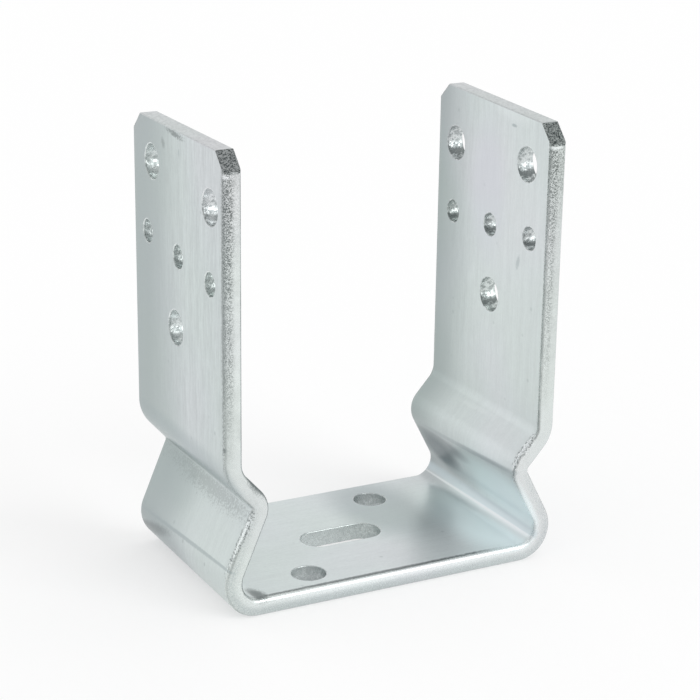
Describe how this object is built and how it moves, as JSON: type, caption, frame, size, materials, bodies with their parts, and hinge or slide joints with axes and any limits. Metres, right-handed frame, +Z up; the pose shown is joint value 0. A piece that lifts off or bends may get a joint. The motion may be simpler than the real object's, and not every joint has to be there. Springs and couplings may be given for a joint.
{
  "type": "u-shaped post base",
  "caption": "U-shaped post base folded from thick galvanised steel strip, with pinched-in seats below the legs, punched screw and bolt holes and a slotted base.",
  "frame": {"origin": "middle of the base's underside, which rests on the foundation", "axes": "+Z up along the legs, X across the post from leg to leg, Y across the strip's width"},
  "size_m": [0.101, 0.06, 0.1276],
  "materials": {
    "galvanised_steel": "bright zinc-galvanised flat steel with fine rolling lines and grainy rolled edges"
  },
  "bodies": {
    "root": {"post_base": "galvanised_steel"}
  },
  "joints": []
}
